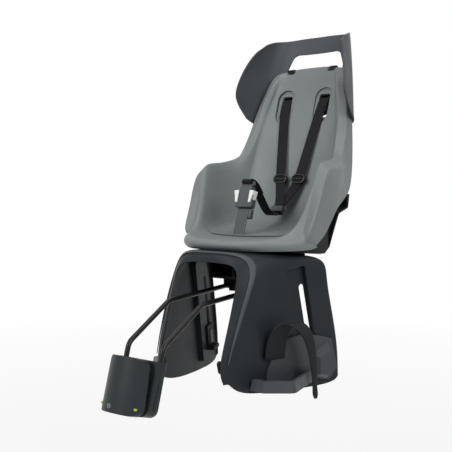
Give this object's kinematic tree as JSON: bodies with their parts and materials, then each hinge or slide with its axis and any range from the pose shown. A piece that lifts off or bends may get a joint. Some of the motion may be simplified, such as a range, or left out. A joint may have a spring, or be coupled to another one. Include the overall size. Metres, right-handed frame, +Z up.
{
  "type": "child bike seat",
  "caption": "Rear child seat for a bicycle: moulded bucket with head guard and harness on a base with leg guards, carried by bent rods from a seat-tube clamp.",
  "frame": {"origin": "on the axis of the bicycle's seat tube, at the middle height of the clamp liner", "axes": "+Z up, -Y towards the front of the bicycle, +X to the child's left; the seat tube leans 16 degrees back in the YZ plane"},
  "size_m": [0.3708, 0.6885, 0.7728],
  "materials": {
    "bracket_black": "satin moulded plastic",
    "liner_rubber": "matte",
    "bolt_steel": "zinc plated",
    "pin_lime": "satin",
    "lock_steel": "nickel plated",
    "rod_black": "black powder coat",
    "mechanism_black": "matte moulded plastic",
    "base_dark": "satin moulded plastic",
    "footrest_dark": "satin moulded plastic",
    "strap_rubber": "matte",
    "shell_grey": "satin moulded plastic",
    "guard_dark": "satin moulded plastic",
    "webbing_black": "woven webbing",
    "buckle_dark": "satin",
    "button_white": "gloss"
  },
  "bodies": {
    "clamp": {"clamp_body": "bracket_black", "clamp_cover": "bracket_black", "clamp_liner": "liner_rubber", "clamp_bolts": "bolt_steel"},
    "lock": {"lock_barrel": "lock_steel"},
    "pin_left": {"indicator_pin_left": "pin_lime"},
    "pin_right": {"indicator_pin_right": "pin_lime"},
    "base": {"leg_base": "base_dark", "carrier_rod_left": "rod_black", "carrier_rod_right": "rod_black", "mech_housing": "mechanism_black", "rod_clamp_plate": "rod_black", "rod_clamp_bolts": "bolt_steel"},
    "foot_left": {"footrest_left": "footrest_dark", "foot_strap_left": "strap_rubber", "footrest_latch_left": "mechanism_black"},
    "foot_right": {"footrest_right": "footrest_dark", "foot_strap_right": "strap_rubber", "footrest_latch_right": "mechanism_black"},
    "seat": {"seat_shell": "shell_grey", "head_guard": "guard_dark", "seat_pan": "mechanism_black", "recline_runner": "mechanism_black", "pan_screws": "bolt_steel", "guard_screws": "bolt_steel", "strap_guide_left": "shell_grey", "strap_guide_right": "shell_grey", "shoulder_strap_left": "webbing_black", "shoulder_strap_right": "webbing_black", "strap_adjuster_left": "buckle_dark", "strap_adjuster_right": "buckle_dark", "strap_clip": "buckle_dark", "lead_strap": "webbing_black", "buckle_tongue": "buckle_dark", "buckle_body": "buckle_dark", "crotch_strap": "buckle_dark", "crotch_anchor": "buckle_dark"},
    "button_left": {"buckle_button_left": "button_white"},
    "button_right": {"buckle_button_right": "button_white"}
  },
  "joints": [
    {"name": "key_turn", "type": "hinge", "parent": "clamp", "child": "lock", "pos_m": [-0.01, -0.0113, -0.03941], "axis": [0, -0.9613, 0.2756], "range_deg": [0, 90]},
    {"name": "pin_press_left", "type": "slide", "parent": "clamp", "child": "pin_left", "axis": [0, 0.9613, -0.2756], "range_m": [0, 0.003], "stiffness_N_per_m": 400},
    {"name": "pin_press_right", "type": "slide", "parent": "clamp", "child": "pin_right", "axis": [0, 0.9613, -0.2756], "range_m": [0, 0.003], "stiffness_N_per_m": 400},
    {"name": "seat_release", "type": "slide", "parent": "clamp", "child": "base", "axis": [0, 0.2756, 0.9613], "range_m": [0, 0.1]},
    {"name": "footrest_height_left", "type": "slide", "parent": "base", "child": "foot_left", "axis": [0.0586, -0.1941, 0.9792], "range_m": [0, 0.1]},
    {"name": "footrest_height_right", "type": "slide", "parent": "base", "child": "foot_right", "axis": [-0.0586, -0.1941, 0.9792], "range_m": [0, 0.1]},
    {"name": "recline", "type": "hinge", "parent": "base", "child": "seat", "pos_m": [0, 0.45, 0.43], "axis": [-1, 0, 0], "range_deg": [0, 15]},
    {"name": "buckle_press_left", "type": "slide", "parent": "seat", "child": "button_left", "axis": [1, 0, 0], "range_m": [0, 0.003], "stiffness_N_per_m": 500},
    {"name": "buckle_press_right", "type": "slide", "parent": "seat", "child": "button_right", "axis": [-1, 0, 0], "range_m": [0, 0.003], "stiffness_N_per_m": 500}
  ]
}
